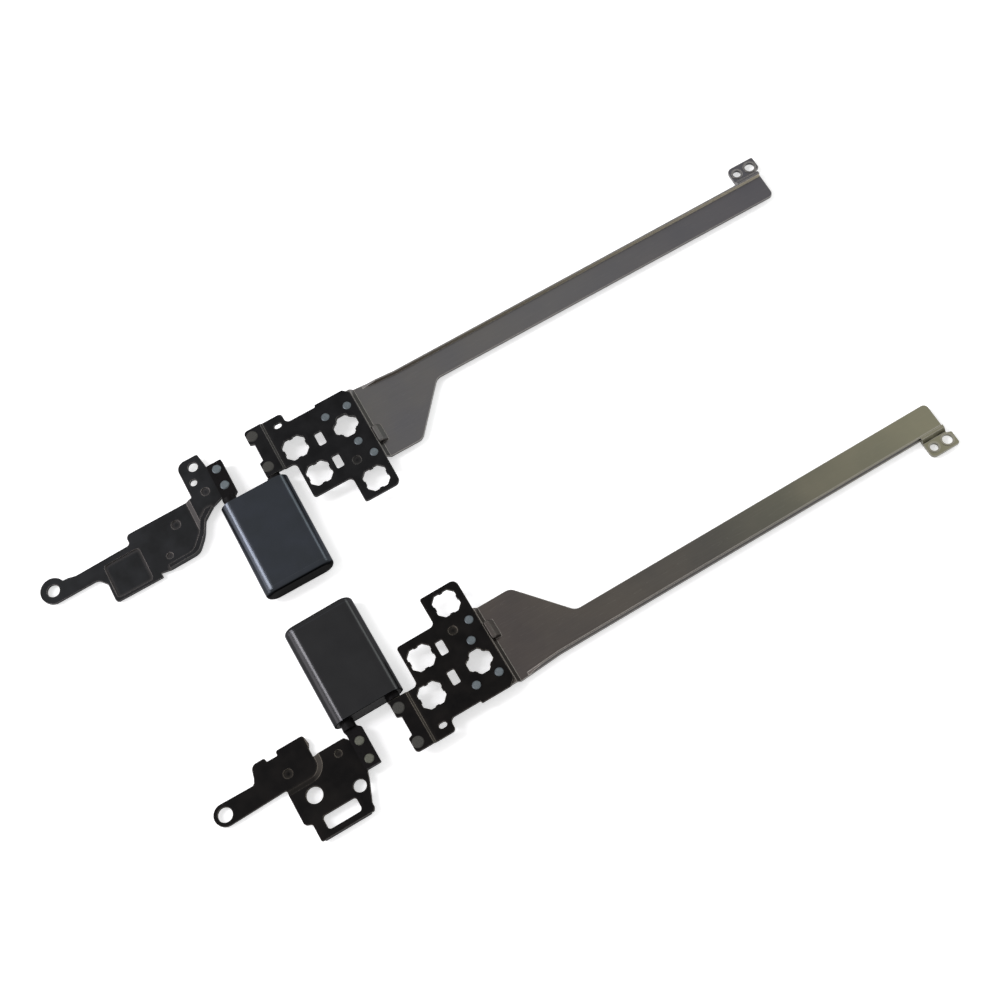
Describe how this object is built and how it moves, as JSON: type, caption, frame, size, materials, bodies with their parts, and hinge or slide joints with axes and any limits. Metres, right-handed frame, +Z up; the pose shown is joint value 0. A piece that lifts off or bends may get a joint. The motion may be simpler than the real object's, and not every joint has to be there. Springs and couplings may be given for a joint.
{
  "type": "laptop hinge pair",
  "caption": "Left and right convertible laptop hinges: oval geared covers with twin shafts, pierced black brackets and long bare steel lid arms with tabs.",
  "frame": {"origin": "bottom centre of the pair as it lies", "axes": "+X along the left hinge's lid arm to its tip, +Y across from the right hinge to the left one, +Z up out of the brackets"},
  "size_m": [0.2084, 0.1008, 0.006],
  "materials": {
    "cover_finish": "satin",
    "cap_plastic": "satin",
    "bracket_coating": "satin",
    "arm_steel": "brushed",
    "rivet_steel": "satin",
    "shaft_steel": "satin",
    "plate_steel": "satin",
    "gear_steel": "satin",
    "washer_bronze": "satin",
    "spring_steel": "satin",
    "nut_steel": "satin"
  },
  "bodies": {
    "covers": {"left_cover": "cover_finish", "left_end_cap": "cap_plastic", "left_end_plate": "plate_steel", "left_mid_plate": "plate_steel", "left_friction_plates": "plate_steel", "right_cover": "cover_finish", "right_end_cap": "cap_plastic", "right_end_plate": "plate_steel", "right_mid_plate": "plate_steel", "right_friction_plates": "plate_steel"},
    "left_lid_half": {"left_lid_shaft": "shaft_steel", "left_lid_gear": "gear_steel", "left_lid_friction_washers": "washer_bronze", "left_lid_spring_washers": "spring_steel", "left_lid_nut": "nut_steel", "left_lid_bracket": "bracket_coating", "left_lid_arm": "arm_steel", "left_lid_tail_rivets": "rivet_steel", "left_arm_rivets": "rivet_steel"},
    "left_base_half": {"left_base_shaft": "shaft_steel", "left_base_gear": "gear_steel", "left_base_friction_washers": "washer_bronze", "left_base_spring_washers": "spring_steel", "left_base_nut": "nut_steel", "left_base_bracket": "bracket_coating", "left_base_tail_rivets": "rivet_steel"},
    "left_idler_1": {"left_idler_gear_1": "gear_steel"},
    "left_idler_2": {"left_idler_gear_2": "gear_steel"},
    "right_lid_half": {"right_lid_shaft": "shaft_steel", "right_lid_gear": "gear_steel", "right_lid_friction_washers": "washer_bronze", "right_lid_spring_washers": "spring_steel", "right_lid_nut": "nut_steel", "right_lid_bracket": "bracket_coating", "right_lid_arm": "arm_steel", "right_lid_tail_rivets": "rivet_steel", "right_arm_rivets": "rivet_steel"},
    "right_base_half": {"right_base_shaft": "shaft_steel", "right_base_gear": "gear_steel", "right_base_friction_washers": "washer_bronze", "right_base_spring_washers": "spring_steel", "right_base_nut": "nut_steel", "right_base_bracket": "bracket_coating", "right_base_tail_rivets": "rivet_steel"},
    "right_idler_1": {"right_idler_gear_1": "gear_steel"},
    "right_idler_2": {"right_idler_gear_2": "gear_steel"}
  },
  "joints": [
    {"name": "left_lid_turn", "type": "hinge", "parent": "covers", "child": "left_lid_half", "pos_m": [-0.04102, 0.03058, 0.003], "axis": [0, 1, 0], "range_deg": [-90, 90]},
    {"name": "left_base_turn", "type": "hinge", "parent": "covers", "child": "left_base_half", "pos_m": [-0.05302, 0.03058, 0.003], "axis": [0, 1, 0], "range_deg": [-90, 90]},
    {"name": "left_idler_1_turn", "type": "hinge", "parent": "covers", "child": "left_idler_1", "pos_m": [-0.04502, 0.03058, 0.003], "axis": [0, 1, 0], "range_deg": [-90, 90]},
    {"name": "left_idler_2_turn", "type": "hinge", "parent": "covers", "child": "left_idler_2", "pos_m": [-0.04902, 0.03058, 0.003], "axis": [0, 1, 0], "range_deg": [-90, 90]},
    {"name": "right_lid_turn", "type": "hinge", "parent": "covers", "child": "right_lid_half", "pos_m": [-0.04097, -0.02612, 0.003], "axis": [-0.0227, 0.9997, 0], "range_deg": [-90, 90]},
    {"name": "right_base_turn", "type": "hinge", "parent": "covers", "child": "right_base_half", "pos_m": [-0.05297, -0.02639, 0.003], "axis": [-0.0227, 0.9997, 0], "range_deg": [-90, 90]},
    {"name": "right_idler_1_turn", "type": "hinge", "parent": "covers", "child": "right_idler_1", "pos_m": [-0.04497, -0.02621, 0.003], "axis": [-0.0227, 0.9997, 0], "range_deg": [-90, 90]},
    {"name": "right_idler_2_turn", "type": "hinge", "parent": "covers", "child": "right_idler_2", "pos_m": [-0.04897, -0.0263, 0.003], "axis": [-0.0227, 0.9997, 0], "range_deg": [-90, 90]}
  ],
  "couplings": [
    {"joint": "left_base_turn", "follows": "left_lid_turn", "ratio": -1},
    {"joint": "left_idler_1_turn", "follows": "left_lid_turn", "ratio": -1},
    {"joint": "left_idler_2_turn", "follows": "left_lid_turn", "ratio": 1},
    {"joint": "right_base_turn", "follows": "right_lid_turn", "ratio": -1},
    {"joint": "right_idler_1_turn", "follows": "right_lid_turn", "ratio": -1},
    {"joint": "right_idler_2_turn", "follows": "right_lid_turn", "ratio": 1}
  ]
}
